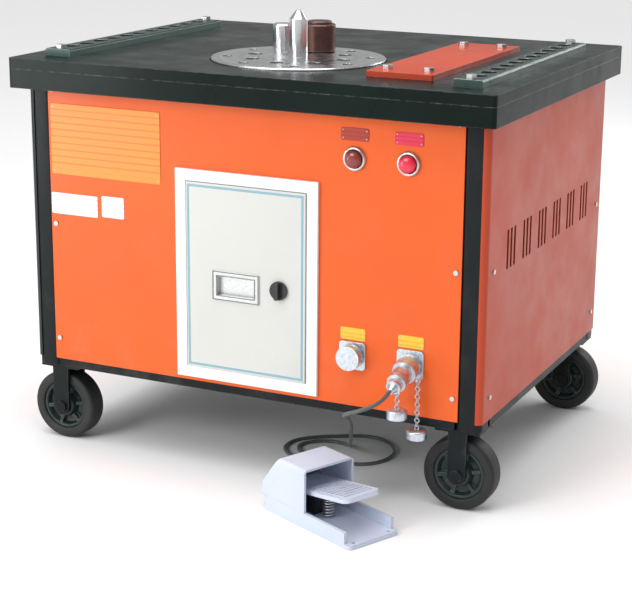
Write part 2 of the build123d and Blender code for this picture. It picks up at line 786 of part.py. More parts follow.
def pedal_treadle():
    u, z = treadle_hinge
    v0, v1 = (pedal_width - treadle_width) / 2, (pedal_width + treadle_width) / 2
    body = block(u, u + treadle_length, v0, v1, z, z + treadle_thickness)
    body = fillet(body.edges().filter_by(Axis.Z).group_by(Axis.X)[-1], 14)
    for index in range(9):
        rib_u = u + 64 + 11 * index
        body += block(rib_u, rib_u + 4, v0 + 10, v1 - 10, z + treadle_thickness - 1, z + treadle_thickness + 1.5)
    body += Pos(u, (v0 + v1) / 2, z) * Rot(90, 0, 0) * Cylinder(treadle_thickness + 1, v1 - v0)
    body -= Pos(u, (v0 + v1) / 2, z) * Rot(90, 0, 0) * Cylinder(treadle_pin_radius + running, v1 - v0)
    return treadle_local(body)


def treadle_pin():
    return rod_y(*treadle_hinge, pedal_wall, pedal_width - pedal_wall, treadle_pin_radius)


def return_spring():
    rings = None
    for index in range(15):
        ring = Pos(118, pedal_width / 2, pedal_plate + 1.6 + 3 * index) * Torus(9, 1.6)
        rings = ring if rings is None else rings + ring
    return rings


def micro_switch():
    body = block(62, 96, 40, 70, pedal_plate, pedal_plate + 28)
    return body + block(74, 79, 52, 58, pedal_plate + 27, pedal_plate + 36)


def cord_tube():
    points = [Vector(*point) for point in cord_points]
    points[0] = plug_tail
    points[1] = plug_tail + plug_axis * 24
    points[-2] = pedal_point(gland_u, pedal_width + gland_length + 34, gland_z)
    points[-1] = pedal_point(gland_u, pedal_width + gland_length, gland_z)
    radii = []
    for before, here, after in zip(points, points[1:], points[2:]):
        half_turn = math.radians((here - before).get_angle(after - here) / 2)
        shorter = min((here - before).length, (after - here).length)
        radii.append(0.45 * shorter / math.tan(half_turn))
    print("cord radii", [round(radius) for radius in radii])
    path = FilletPolyline(*points, radius=radii)
    section = Plane(origin=points[0], z_dir=path % 0) * Circle(cord_radius)
    tube = sweep(section, path=path)
    print("cord length", round(path.length), "volume ratio",
          round(tube.volume / (path.length * math.pi * cord_radius ** 2), 4))
    print("cord ends", [tuple(round(value, 1) for value in point) for point in (*points[:2], *points[-2:])])
    return tube


def pedal_point(u, v, z):
    corner = Vector(*pedal_corner)
    along_u, along_v = Vector(math.cos(turn), math.sin(turn)), Vector(-math.sin(turn), math.cos(turn))
    return corner + along_u * u + along_v * v + Vector(0, 0, z)


def panel_screws():
    screws = []
    z_low, z_high = cabinet_bottom + panel_gap_low + 12, table_height - panel_gap_high - 20
    for z in (z_low + 30, (z_low + z_high) / 2, z_high):
        for x in (-front_panel_length / 2 + 10, front_panel_length / 2 - 10):
            screws.append(rod_y(x, z, front - 2.5, front, 4.5))
            screws.append(rod_y(x, z, panel_y, panel_y + 2.5, 4.5))
        for side in (-1, 1):
            for y in (-panel_y + 36, panel_y - 36):
                screws.append(Pos(side * (panel_x + 1.25), y, z) * Rot(0, 90, 0) * Cylinder(4.5, 2.5))
    return screws


def label_plates():
    plates = [front_plate(*instruction_plate_box)]
    plates += [front_plate(*box) for box in name_plate_boxes]
    plates += [centred_plate(x, button_plate_z, button_plate_size) for x in button_x]
    plates += [centred_plate(x, socket_plate_z, socket_plate_size) for x in socket_x]
    return plates


def structure():
    return {
        "base_frame": base_frame(),
        "table_plate": table_plate(),
        "table_skirt": table_skirt(),
        "front_panel": front_panel(),
        "rear_panel": flat_panel(panel_y - sheet, panel_y),
        "right_panel": side_panel(1),
        "left_panel": side_panel(-1),
        "floor_pan": floor_pan(),
        "panel_screws": group(panel_screws()),
        "label_plates": group(label_plates()),
    }


def door_nodes():
    return {
        "door_frame": door_frame(),
        "door_leaf": door_leaf(),
        "door_pull": door_pull(),
        "lock_knob": lock_knob(),
        "lock_cam": lock_cam(),
        "hinge_pins": group(door_pin_solids() + [pedal_place * treadle_pin()]),
    }


def control_nodes():
    straight = Vector(0, -1, 0)
    collar_end = Vector(socket_x[0], front - socket_flange_thickness - socket_collar_length, socket_z)
    switches = [switch_block(x) for x in button_x] + [pedal_place * micro_switch()]
    return {
        "button_bezels": group([button_bezel(x) for x in button_x]),
        "left_button": push_button(button_x[0]),
        "right_button": push_button(button_x[1]),
        "switch_blocks": group(switches),
        "left_socket": socket(socket_x[0], straight),
        "right_socket": right_socket(),
        "left_socket_cap": closed_cap(collar_end, straight),
        "right_socket_cap": group(hanging_cap(Vector(socket_cap_x, socket_cap_y, socket_cap_z), socket_cap_links)),
        "plug_cap": group(hanging_cap(plug_cap_top(), plug_cap_links)),
        "cable_plug": group([plug_body(), plug_boot()]),
        "foot_cable": cord_tube(),
    }


def table_nodes():
    return {
        "work_disc": work_disc(),
        "centre_mandrel": centre_mandrel(),
        "forming_roller": forming_roller(),
        "roller_pin": roller_pin(),
        "back_pin": back_pin(),
        "stop_block": stop_block(),
        "table_bolts": group(table_bolts()),
        "right_pin_bar": pin_bar(1),
        "left_pin_bar": pin_bar(-1),
    }


def wheel_nodes():
    places = {"front_left": (-wheel_x, -wheel_y), "front_right": (wheel_x, -wheel_y),
              "rear_left": (-wheel_x, wheel_y), "rear_right": (wheel_x, wheel_y)}
    brackets = [make(*place) for place in places.values() for make in (wheel_fork, wheel_axle)]
    nodes = {"wheel_brackets": group(brackets)}
    for name, place in places.items():
        nodes["wheel_" + name] = group([wheel_tyre(*place), wheel_hub(*place)])
    return nodes


def drive_nodes():
    lay_phase = 270 + 180 / lay_pinion_teeth
    input_phase = 270 + 180 / first_pinion_teeth
    lay_pinion = gear(lay_pinion_teeth, main_module, *main_face, lay_shaft_radius - 1, 0, lay_y, lay_phase)
    input_pinion = gear(first_pinion_teeth, first_module, *first_face, input_shaft_radius - 1, 0, input_y, input_phase)
    shaft_end = plate_bottom - 0.5
    return {
        "gear_case": gear_case(),
        "gear_cover": gear_cover(),
        "shaft_bearings": group(shaft_bearings()),
        "main_shaft": main_shaft(),
        "main_gear": gear(main_teeth, main_module, *main_face, main_shaft_radius, 0, disc_y, 90),
        "lay_pinion_shaft": lay_pinion + post(0, lay_y, case_bottom[0] + 0.5, shaft_end, lay_shaft_radius),
        "first_gear": gear(first_teeth, first_module, *first_face, lay_shaft_radius, 0, lay_y, 90),
        "input_pinion_shaft": input_pinion + post(0, input_y, pulley_face[0], shaft_end, input_shaft_radius),
        "driven_pulley": pulley(0, input_y, driven_pulley_radius, input_shaft_radius),
        "motor_pulley": pulley(motor_x, input_y, motor_pulley_radius, motor_shaft_radius),
        "v_belt": v_belt(),
        "motor_body": group([motor_body(), motor_fan_cover(), motor_terminal_box()]),
        "motor_shaft": motor_shaft(),
        "motor_bracket": motor_bracket(),
    }


def pedal_nodes():
    return {
        "pedal_base": pedal_place * pedal_base(),
        "pedal_hood": pedal_place * pedal_hood(),
        "pedal_treadle": pedal_place * pedal_treadle(),
        "return_spring": pedal_place * return_spring(),
        "pedal_gland": pedal_place * pedal_gland(),
    }


def main():
    os.makedirs("parts", exist_ok=True)
    nodes = {}
    for make in (structure, door_nodes, control_nodes, table_nodes, wheel_nodes, drive_nodes, pedal_nodes):
        nodes.update(make())
    for name, shape in nodes.items():
        export_step(Pos(0, row_shift, 0) * shape, "parts/" + name + ".step")


main()
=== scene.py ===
import math

import bpy
import bmesh
from mathutils import Matrix, Vector


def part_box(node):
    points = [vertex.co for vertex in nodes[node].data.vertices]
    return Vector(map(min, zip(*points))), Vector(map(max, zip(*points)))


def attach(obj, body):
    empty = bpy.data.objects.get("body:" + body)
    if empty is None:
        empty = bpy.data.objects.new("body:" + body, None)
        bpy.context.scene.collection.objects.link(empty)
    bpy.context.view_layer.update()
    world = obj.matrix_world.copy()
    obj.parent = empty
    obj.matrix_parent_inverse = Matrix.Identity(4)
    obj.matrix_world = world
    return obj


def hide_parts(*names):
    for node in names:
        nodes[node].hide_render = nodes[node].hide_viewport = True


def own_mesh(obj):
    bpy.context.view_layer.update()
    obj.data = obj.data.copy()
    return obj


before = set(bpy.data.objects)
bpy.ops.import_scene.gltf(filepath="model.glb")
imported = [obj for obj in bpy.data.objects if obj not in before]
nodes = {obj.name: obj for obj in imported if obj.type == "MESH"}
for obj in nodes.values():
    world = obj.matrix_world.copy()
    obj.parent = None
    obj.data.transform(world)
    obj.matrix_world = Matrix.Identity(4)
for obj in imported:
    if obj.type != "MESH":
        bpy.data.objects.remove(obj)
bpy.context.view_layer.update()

table_low, table_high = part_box("table_plate")
machine = Vector(((table_low.x + table_high.x) / 2, (table_low.y + table_high.y) / 2, 0))
disc_low, disc_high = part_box("work_disc")
disc_middle = (disc_low + disc_high) / 2
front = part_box("front_panel")[0].y

# The camera stands at this offset from the middle of the machine on the floor; angles are in degrees.
CAMERA_OFFSET = Vector((1.375, -2.915, 1.157))
CAMERA_YAW, CAMERA_PITCH, CAMERA_ROLL = 24.899, 15.026, 0.592
CAMERA_LENS = 95.94
CAMERA_SHIFT = (-0.031, -0.031)


def add_object(name, data):
    """A new object for data, linked to the scene."""
    obj = bpy.data.objects.new(name, data)
    bpy.context.scene.collection.objects.link(obj)
    return obj


def make_camera():
    yaw, pitch, roll = (math.radians(a) for a in (CAMERA_YAW, CAMERA_PITCH, CAMERA_ROLL))
    level = Vector((-math.sin(yaw), math.cos(yaw), 0))
    forward = level * math.cos(pitch) - Vector((0, 0, math.sin(pitch)))
    right = Vector((math.cos(yaw), math.sin(yaw), 0))
    up = right.cross(forward)
    tilted_right = math.cos(roll) * right + math.sin(roll) * up
    tilted_up = -math.sin(roll) * right + math.cos(roll) * up
    data = bpy.data.cameras.new("camera")
    data.lens, data.sensor_width = CAMERA_LENS, 36
    data.shift_x, data.shift_y = CAMERA_SHIFT
    data.clip_end = 50
    camera = add_object("camera", data)
    turn = Matrix((tilted_right, tilted_up, -forward)).transposed()
    camera.matrix_world = Matrix.Translation(machine + CAMERA_OFFSET) @ turn.to_4x4()
    bpy.context.scene.camera = camera


make_camera()


# Materials ---------------------------------------------------------------

def start_material(name, colour, roughness, metallic=0.0):
    material = bpy.data.materials.new(name)
    material.use_nodes = True
    tree = material.node_tree
    shader = tree.nodes["Principled BSDF"]
    shader.inputs["Base Color"].default_value = (*colour, 1)
    shader.inputs["Roughness"].default_value = roughness
    shader.inputs["Metallic"].default_value = metallic
    material.diffuse_color = (*colour, 1)
    place = tree.nodes.new("ShaderNodeTexCoord").outputs["Object"]
    return material, tree, shader, place


def noise(tree, place, scale, detail=4.0, stretch=(1, 1, 1), roughness=0.55):
    mapping = tree.nodes.new("ShaderNodeMapping")
    mapping.inputs["Scale"].default_value = stretch
    tree.links.new(place, mapping.inputs["Vector"])
    texture = tree.nodes.new("ShaderNodeTexNoise")
    texture.inputs["Scale"].default_value = scale
    texture.inputs["Detail"].default_value = detail
    texture.inputs["Roughness"].default_value = roughness
    tree.links.new(mapping.outputs["Vector"], texture.inputs["Vector"])
    return texture.outputs["Fac"]


def spread(tree, value, low, high, out_low=0.0, out_high=1.0):
    node = tree.nodes.new("ShaderNodeMapRange")
    node.inputs["From Min"].default_value = low
    node.inputs["From Max"].default_value = high
    node.inputs["To Min"].default_value = out_low
    node.inputs["To Max"].default_value = out_high
    tree.links.new(value, node.inputs["Value"])
    return node.outputs["Result"]


def maths(tree, operation, a, b):
    node = tree.nodes.new("ShaderNodeMath")
    node.operation = operation
    for socket, value in zip(node.inputs, (a, b)):
        if isinstance(value, (int, float)):
            socket.default_value = value
        else:
            tree.links.new(value, socket)
    return node.outputs[0]


def mix_colour(tree, factor, first, second):
    node = tree.nodes.new("ShaderNodeMix")
    node.data_type = "RGBA"
    if isinstance(factor, (int, float)):
        node.inputs["Factor"].default_value = factor
    else:
        tree.links.new(factor, node.inputs["Factor"])
    for socket, value in ((node.inputs["A"], first), (node.inputs["B"], second)):
        if isinstance(value, tuple):
            socket.default_value = (*value, 1)
        else:
            tree.links.new(value, socket)
    return node.outputs["Result"]


def bump(tree, shader, height, strength, distance, rounding=0.0012):
    node = tree.nodes.new("ShaderNodeBump")
    node.inputs["Strength"].default_value = strength
    node.inputs["Distance"].default_value = distance
    tree.links.new(height, node.inputs["Height"])
    if rounding:
        bevel = tree.nodes.new("ShaderNodeBevel")
        bevel.samples = 4
        bevel.inputs["Radius"].default_value = rounding
        tree.links.new(bevel.outputs["Normal"], node.inputs["Normal"])
    tree.links.new(node.outputs["Normal"], shader.inputs["Normal"])


def edge_mask(tree, radius):
    bevel = tree.nodes.new("ShaderNodeBevel")
    bevel.samples = 4
    bevel.inputs["Radius"].default_value = radius
    geometry = tree.nodes.new("ShaderNodeNewGeometry")
    dot = tree.nodes.new("ShaderNodeVectorMath")
    dot.operation = "DOT_PRODUCT"
    tree.links.new(bevel.outputs["Normal"], dot.inputs[0])
    tree.links.new(geometry.outputs["Normal"], dot.inputs[1])
    return maths(tree, "SUBTRACT", 1.0, dot.outputs["Value"])


def height_above_floor(tree):
    geometry = tree.nodes.new("ShaderNodeTexCoord").outputs["Object"]
    split = tree.nodes.new("ShaderNodeSeparateXYZ")
    tree.links.new(geometry, split.inputs["Vector"])
    return split.outputs["Z"]


def paint(name, colour, roughness=0.32, wear=(0.30, 0.29, 0.28), wear_amount=0.7, mottle=0.10,
          peel=0.10, dust=0.25, dust_colour=(0.35, 0.31, 0.27), gloss=0.35):
    material, tree, shader, place = start_material(name, colour, roughness)
    dark = tuple(c * (1 - mottle) for c in colour)
    light = tuple(min(1, c * (1 + mottle)) for c in colour)
    base = mix_colour(tree, spread(tree, noise(tree, place, 3.5, 3), 0.3, 0.7), dark, light)
    grime = spread(tree, noise(tree, place, 9, 8, roughness=0.7), 0.52, 0.80, 0, dust)
    low_dust = maths(tree, "MULTIPLY", spread(tree, height_above_floor(tree), 0.30, 0.14, 0, 0.8), grime)
    dirt = maths(tree, "ADD", maths(tree, "MULTIPLY", grime, 0.25), low_dust)
    base = mix_colour(tree, dirt, base, dust_colour)
    chips = spread(tree, noise(tree, place, 55, 6, roughness=0.7), 0.42, 0.62)
    worn = maths(tree, "MULTIPLY", spread(tree, edge_mask(tree, 0.0025), 0.04, 0.22), chips)
    worn = maths(tree, "MULTIPLY", worn, wear_amount)
    base = mix_colour(tree, worn, base, wear)
    tree.links.new(base, shader.inputs["Base Color"])
    rough = spread(tree, noise(tree, place, 14, 5), 0.3, 0.7, roughness - 0.06, roughness + 0.10)
    tree.links.new(maths(tree, "ADD", rough, maths(tree, "MULTIPLY", worn, 0.2)), shader.inputs["Roughness"])
    shader.inputs["Coat Weight"].default_value = 0.08
    shader.inputs["Coat Roughness"].default_value = 0.15
    shader.inputs["Specular IOR Level"].default_value = gloss
    bump(tree, shader, noise(tree, place, 420, 2), peel, 0.0006)
    return material


def steel(name, colour=(0.62, 0.63, 0.64), roughness=0.28, stretch=(1, 1, 1), grain=220, stain=0.35,
          stain_colour=(0.30, 0.26, 0.22), metallic=1.0):
    material, tree, shader, place = start_material(name, colour, roughness, metallic)
    lines = noise(tree, place, grain, 6, stretch)
    dark = tuple(c * 0.78 for c in colour)
    light = tuple(min(1, c * 1.12) for c in colour)
    base = mix_colour(tree, spread(tree, lines, 0.35, 0.65), dark, light)
    spots = spread(tree, noise(tree, place, 18, 8, roughness=0.7), 0.55, 0.75, 0, stain)
    base = mix_colour(tree, spots, base, stain_colour)
    # Edges are mixed towards pale grey: a painted highlight along the edges.
    painted_edge_highlight = spread(tree, edge_mask(tree, 0.0018), 0.03, 0.20, 0, 0.6)
    base = mix_colour(tree, painted_edge_highlight, base, (0.80, 0.80, 0.80))
    tree.links.new(base, shader.inputs["Base Color"])
    rough = spread(tree, lines, 0.3, 0.7, roughness - 0.08, roughness + 0.12)
    tree.links.new(maths(tree, "ADD", rough, maths(tree, "MULTIPLY", spots, 0.4)), shader.inputs["Roughness"])
    bump(tree, shader, lines, 0.12, 0.0003)
    return material


def turned_steel(name, centre, colour=(0.66, 0.67, 0.68), roughness=0.24):
    """Faced on a lathe: fine rings round the vertical axis through centre."""
    material, tree, shader, place = start_material(name, colour, roughness, 1.0)
    offset = tree.nodes.new("ShaderNodeVectorMath")
    offset.operation = "SUBTRACT"
    offset.inputs[1].default_value = (centre.x, centre.y, 0)
    tree.links.new(place, offset.inputs[0])
    flat = tree.nodes.new("ShaderNodeVectorMath")
    flat.operation = "MULTIPLY"
    flat.inputs[1].default_value = (1, 1, 0)
    tree.links.new(offset.outputs["Vector"], flat.inputs[0])
    length = tree.nodes.new("ShaderNodeVectorMath")
    length.operation = "LENGTH"
    tree.links.new(flat.outputs["Vector"], length.inputs[0])
    radius = tree.nodes.new("ShaderNodeCombineXYZ")
    tree.links.new(length.outputs["Value"], radius.inputs["X"])
    rings = noise(tree, radius.outputs["Vector"], 900, 3)
    bands = noise(tree, radius.outputs["Vector"], 60, 3)
    smears = noise(tree, place, 26, 7, roughness=0.7)
    dark = tuple(c * 0.70 for c in colour)
    base = mix_colour(tree, spread(tree, bands, 0.3, 0.7), dark, tuple(min(1, c * 1.15) for c in colour))
    base = mix_colour(tree, spread(tree, smears, 0.56, 0.78, 0, 0.5), base, (0.27, 0.22, 0.19))
    # Edges are mixed towards pale grey: a painted highlight along the edges.
    base = mix_colour(tree, spread(tree, edge_mask(tree, 0.002), 0.03, 0.2, 0, 0.6), base, (0.85, 0.85, 0.85))
    tree.links.new(base, shader.inputs["Base Color"])
    rough = spread(tree, smears, 0.35, 0.75, roughness - 0.06, roughness + 0.2)
    tree.links.new(rough, shader.inputs["Roughness"])
    bump(tree, shader, rings, 0.22, 0.0004)
    return material


def rubber(name, colour=(0.018, 0.019, 0.020), roughness=0.62, grain=300, dust=0.25):
    material, tree, shader, place = start_material(name, colour, roughness)
    powder = spread(tree, noise(tree, place, 24, 8, roughness=0.72), 0.48, 0.75, 0, dust)
    base = mix_colour(tree, powder, colour, (0.16, 0.15, 0.14))
    rubbed = spread(tree, edge_mask(tree, 0.002), 0.05, 0.3, 0, 0.25)
    base = mix_colour(tree, rubbed, base, (0.11, 0.11, 0.11))
    tree.links.new(base, shader.inputs["Base Color"])
    tree.links.new(maths(tree, "ADD", maths(tree, "MULTIPLY", powder, 0.5), roughness - 0.05),
                   shader.inputs["Roughness"])
    bump(tree, shader, noise(tree, place, grain, 4), 0.25, 0.0006)
    return material


def plastic(name, colour, roughness=0.22, coat=0.5, scratch=0.3):
    material, tree, shader, place = start_material(name, colour, roughness)
    marks = spread(tree, noise(tree, place, 60, 8, (1, 1, 6), 0.7), 0.55, 0.75, 0, scratch)
    base = mix_colour(tree, marks, colour, tuple(min(1, c * 1.5 + 0.05) for c in colour))
    tree.links.new(base, shader.inputs["Base Color"])
    tree.links.new(spread(tree, noise(tree, place, 30, 4), 0.3, 0.7, roughness - 0.06, roughness + 0.1),
                   shader.inputs["Roughness"])
    shader.inputs["Coat Weight"].default_value = coat
    shader.inputs["Coat Roughness"].default_value = 0.08
    bump(tree, shader, noise(tree, place, 500, 2), 0.05, 0.0003)
    return material


def black_in_front(material, depth):
    """The return of the panel next to the corner post is sprayed black with the frame."""
    tree = material.node_tree
    shader = tree.nodes["Principled BSDF"]
    place = tree.nodes.new("ShaderNodeTexCoord").outputs["Object"]
    split = tree.nodes.new("ShaderNodeSeparateXYZ")
    tree.links.new(place, split.inputs["Vector"])
    mask = maths(tree, "LESS_THAN", split.outputs["Y"], depth)
    painted = shader.inputs["Base Color"].links[0].from_socket
    tree.links.new(mix_colour(tree, mask, painted, (0.006, 0.009, 0.010)), shader.inputs["Base Color"])
    return material


def lined_plate(name, ground, line, pitch, first, last, metallic=0.0, roughness=0.35):
    """A blank plate with faint ruled lines between two heights."""
    material, tree, shader, place = start_material(name, ground, roughness, metallic)
    z = height_above_floor(tree)
    wave = maths(tree, "FRACT", maths(tree, "DIVIDE", z, pitch), 0)
    rule = maths(tree, "LESS_THAN", wave, 0.22)
    inside = maths(tree, "MULTIPLY", maths(tree, "GREATER_THAN", z, first), maths(tree, "LESS_THAN", z, last))
    rule = maths(tree, "MULTIPLY", maths(tree, "MULTIPLY", rule, inside), 0.75)
    fade = spread(tree, noise(tree, place, 30, 5), 0.3, 0.7, 0.92, 1.0)
    base = mix_colour(tree, maths(tree, "MULTIPLY", rule, fade), ground, line)
    stain = spread(tree, noise(tree, place, 16, 8, roughness=0.7), 0.55, 0.8, 0, 0.3)
    base = mix_colour(tree, stain, base, tuple(c * 0.7 for c in ground))
    tree.links.new(base, shader.inputs["Base Color"])
    bump(tree, shader, noise(tree, place, 700, 2), 0.05, 0.0002)
    return material


ORANGE = (0.76, 0.105, 0.007)
mat_orange = paint("orange_paint", ORANGE, 0.34, wear=(0.16, 0.05, 0.02), wear_amount=0.45, mottle=0.07)
# The right side panel gets a darker copy of the same orange paint: painted shade for the side turned from the
# light.
mat_orange_painted_shade_right = paint("orange_paint_painted_shade_right", (0.46, 0.048, 0.012), 0.42, wear=(0.16, 0.05, 0.02),
                 wear_amount=0.45, mottle=0.08)
# The left panel also gets a darker copy of the same orange paint: painted shade; its front return is black.
mat_orange_painted_shade_left = black_in_front(paint("orange_paint_painted_shade_left", (0.60, 0.068, 0.014), 0.40, wear=(0.16, 0.05, 0.02),
                                wear_amount=0.45, mottle=0.08), front + 0.013)
mat_block = paint("stop_block_paint", (0.50, 0.050, 0.010), 0.40, wear=(0.45, 0.40, 0.36),
                  wear_amount=0.9, mottle=0.14)
mat_black = paint("black_paint", (0.005, 0.008, 0.009), 0.40, wear=(0.22, 0.22, 0.22),
                  wear_amount=0.5, mottle=0.3, dust=0.15, gloss=0.15)
mat_table = paint("table_paint", (0.002, 0.009, 0.007), 0.30, wear=(0.30, 0.30, 0.30),
                  wear_amount=0.55, mottle=0.35, dust=0.12, dust_colour=(0.05, 0.08, 0.075), gloss=0.10)
mat_white = paint("white_paint", (0.86, 0.88, 0.89), 0.35, wear=(0.35, 0.33, 0.30),
                  wear_amount=0.35, mottle=0.03)
mat_door = paint("door_paint", (0.60, 0.61, 0.58), 0.38, wear=(0.35, 0.33, 0.30),
                 wear_amount=0.35, mottle=0.03)
mat_pedal = paint("pedal_paint", (0.56, 0.62, 0.74), 0.34, wear=(0.25, 0.26, 0.28),
                  wear_amount=0.7, mottle=0.09, peel=0.45)
mat_cast = paint("cast_paint", (0.10, 0.12, 0.13), 0.55, wear=(0.30, 0.30, 0.30), mottle=0.2, peel=0.6)
mat_motor = paint("motor_paint", (0.07, 0.11, 0.14), 0.42, wear=(0.30, 0.30, 0.30), mottle=0.2, peel=0.4)
mat_disc = turned_steel("disc_steel", disc_middle)
mat_bright = turned_steel("mandrel_steel", disc_middle, (0.78, 0.79, 0.80), 0.16)
mat_bar = steel("bar_steel", (0.07, 0.11, 0.10), 0.36, (8, 0.6, 8), 60, 0.5, (0.02, 0.035, 0.03), 0.85)
mat_roller = steel("roller_steel", (0.13, 0.065, 0.055), 0.38, (1, 1, 9), 60, 0.5, (0.05, 0.03, 0.03), 0.8)
mat_zinc = steel("zinc_plate", (0.60, 0.61, 0.62), 0.34, grain=90, stain=0.15)
mat_alloy = steel("socket_alloy", (0.62, 0.68, 0.74), 0.36, grain=140, stain=0.12)
mat_pull = steel("pull_steel", (0.66, 0.68, 0.68), 0.42, (1, 1, 8), 140, 0.1)
mat_machined = steel("machined_steel", (0.45, 0.46, 0.47), 0.32, grain=150)
mat_tyre = rubber("tyre_rubber", (0.009, 0.010, 0.011), 0.66, 300, 0.12)
mat_cable = rubber("cable_rubber", (0.085, 0.10, 0.10), 0.45, 500, 0.15)
mat_belt = rubber("belt_rubber")
mat_hub = paint("hub_paint", (0.018, 0.030, 0.030), 0.30, wear=(0.35, 0.36, 0.36),
                wear_amount=0.9, mottle=0.3)
mat_red = plastic("red_plastic", (0.70, 0.010, 0.045))
mat_brown = plastic("brown_plastic", (0.22, 0.020, 0.014))
mat_blackplastic = plastic("black_plastic", (0.012, 0.012, 0.013), 0.35, 0.2)

NODE_MATERIALS = {
    mat_orange: ["front_panel", "rear_panel"],
    mat_orange_painted_shade_right: ["right_panel"],
    mat_orange_painted_shade_left: ["left_panel"],
    mat_black: ["base_frame", "floor_pan", "wheel_brackets", "motor_bracket"],
    mat_table: ["table_plate", "table_skirt"],
    mat_white: ["door_frame"],
    mat_door: ["door_leaf"],
    mat_block: ["stop_block"],
    mat_disc: ["work_disc"],
    mat_bar: ["right_pin_bar", "left_pin_bar"],
    mat_zinc: ["panel_screws", "table_bolts", "lock_cam", "hinge_pins", "button_bezels", "return_spring"],
    mat_pull: ["door_pull"],
    mat_alloy: ["left_socket", "right_socket", "left_socket_cap", "right_socket_cap", "plug_cap",
                "cable_plug"],
    mat_machined: ["shaft_bearings", "main_shaft", "main_gear", "lay_pinion_shaft", "first_gear",
                   "input_pinion_shaft", "motor_shaft"],
    mat_cast: ["gear_case", "gear_cover", "driven_pulley", "motor_pulley"],
    mat_motor: ["motor_body"],
    mat_belt: ["v_belt"],
    mat_blackplastic: ["switch_blocks", "pedal_gland", "lock_knob"],
    mat_pedal: ["pedal_base", "pedal_hood", "pedal_treadle"],
    mat_bright: ["centre_mandrel", "back_pin"],
    mat_roller: ["forming_roller", "roller_pin"],
    mat_tyre: ["wheel_front_left", "wheel_front_right", "wheel_rear_left", "wheel_rear_right"],
    mat_cable: ["foot_cable"],
    mat_brown: ["left_button"],
    mat_red: ["right_button"],
}


def dress_nodes():
    for material, names in NODE_MATERIALS.items():
        for name in names:
            mesh = nodes[name].data
            mesh.materials.clear()
            mesh.materials.append(material)
            smooth_node(nodes[name])


def smooth_node(node):
    """Smooth shading broken at sharp edges, done by modifiers that leave the vertices as they are."""
    weld = node.modifiers.new("weld", "WELD")
    weld.merge_threshold = 0.00002
    split = node.modifiers.new("split", "EDGE_SPLIT")
    split.split_angle = math.radians(32)
    node.data.polygons.foreach_set("use_smooth", [True] * len(node.data.polygons))


# Pieces made here ----------------------------------------------------------

def piece(name, builder, material, body, stands_for=(), angle=35):
    mesh = bpy.data.meshes.new(name)
    builder.normal_update()
    builder.to_mesh(mesh)
    builder.free()
    mesh.materials.append(material)
    mesh.polygons.foreach_set("use_smooth", [True] * len(mesh.polygons))
    mesh.set_sharp_from_angle(angle=math.radians(angle))
    obj = add_object(name, mesh)
    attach(obj, body)
    if stands_for:
        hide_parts(*stands_for)
    return obj


def lathe(builder, profile, origin, axis, segments=64):
    """Closed ring of (radius, height) points turned round axis through origin."""
    axis = Vector(axis).normalized()
    side = axis.orthogonal().normalized()
    other = axis.cross(side)
    rings = []
    for step in range(segments):
        angle = 2 * math.pi * step / segments
        out = math.cos(angle) * side + math.sin(angle) * other
        rings.append([builder.verts.new(origin + axis * h + out * r) for r, h in profile])
    count = len(profile)
    for step in range(segments):
        here, after = rings[step], rings[(step + 1) % segments]
        for index in range(count):
            nxt = (index + 1) % count
            builder.faces.new((here[index], here[nxt], after[nxt], after[index]))
    bmesh.ops.remove_doubles(builder, verts=builder.verts, dist=1e-6)
    bmesh.ops.recalc_face_normals(builder, faces=builder.faces)
    return builder


def rounded(points, radius, steps=3):
    """Profile with each corner replaced by a small arc-like curve."""
    result = []
    count = len(points)
    for index, (r, h) in enumerate(points):
        if r <= 0:
            result.append((0.0, h))
            continue
        here = Vector((r, h))
        before, after = Vector(points[index - 1]), Vector(points[(index + 1) % count])
        reach = min(radius, (here - before).length * 0.45, (here - after).length * 0.45)
        start = here + (before - here).normalized() * reach
        end = here + (after - here).normalized() * reach
        for step in range(steps + 1):
            t = step / steps
            point = start * (1 - t) ** 2 + here * (2 * t * (1 - t)) + end * t ** 2
            result.append((point.x, point.y))
    return result


def slab(builder, centre, size, radius, axis=1, segments=5, edge=0.0004):
    """Thin plate with rounded corners, its thickness along axis; edge is not used, so the edges stay square.
    """
    across, up = [i for i in range(3) if i != axis]
    half = [s / 2 for s in size]
    corner = []
    for sx, sy, start in ((1, 1, 0), (-1, 1, 90), (-1, -1, 180), (1, -1, 270)):
        for step in range(segments + 1):
            angle = math.radians(start + 90 * step / segments)
            corner.append((sx * (half[across] - radius) + radius * math.cos(angle),
                           sy * (half[up] - radius) + radius * math.sin(angle)))
    faces = []
    for level in (-half[axis], half[axis]):
        loop = []
        for a, b in corner:
            point = Vector(centre)
            point[across] += a
            point[up] += b
            point[axis] += level
            loop.append(builder.verts.new(point))
        faces.append(loop)
    first, second = faces
    builder.faces.new(first)
    builder.faces.new(second)
    count = len(first)
    for index in range(count):
        nxt = (index + 1) % count
        builder.faces.new((first[index], first[nxt], second[nxt], second[index]))
    bmesh.ops.recalc_face_normals(builder, faces=builder.faces)
    return builder


# Cable of the foot switch: the same points as in the CAD route, from the plug's boot to the gland.
CABLE_DIAMETER = 0.007
CABLE_POINTS = [
    (323, -427, 239), (323, -450, 232.7), (316, -474, 227), (295, -489, 219), (269, -482, 208),
    (251, -458, 195), (239, -424, 180), (227, -388, 165), (215, -350, 144), (200, -310, 118),
    (180, -266, 86), (160, -222, 56), (138, -178, 30), (117, -140, 12), (95, -118, 4.5),
    (70, -114, 3.5), (38, -131, 3.5), (21, -163, 3.5), (39, -194, 3.5), (78, -201, 3.5),
    (118, -202, 3.5), (158, -211, 3.5), (193, -190, 3.5), (210, -150, 3.5), (202, -104, 3.5),
    (168, -66, 3.5), (124, -55, 3.5), (80, -78, 3.5), (36, -105, 3.5), (4, -138, 3.5),
    (-1, -180, 3.5), (22, -213, 3.5), (60, -230, 3.5), (98, -251, 3.5), (138, -270, 4),
    (176, -290, 8), (187, -327, 14), (173, -357, 14),
]


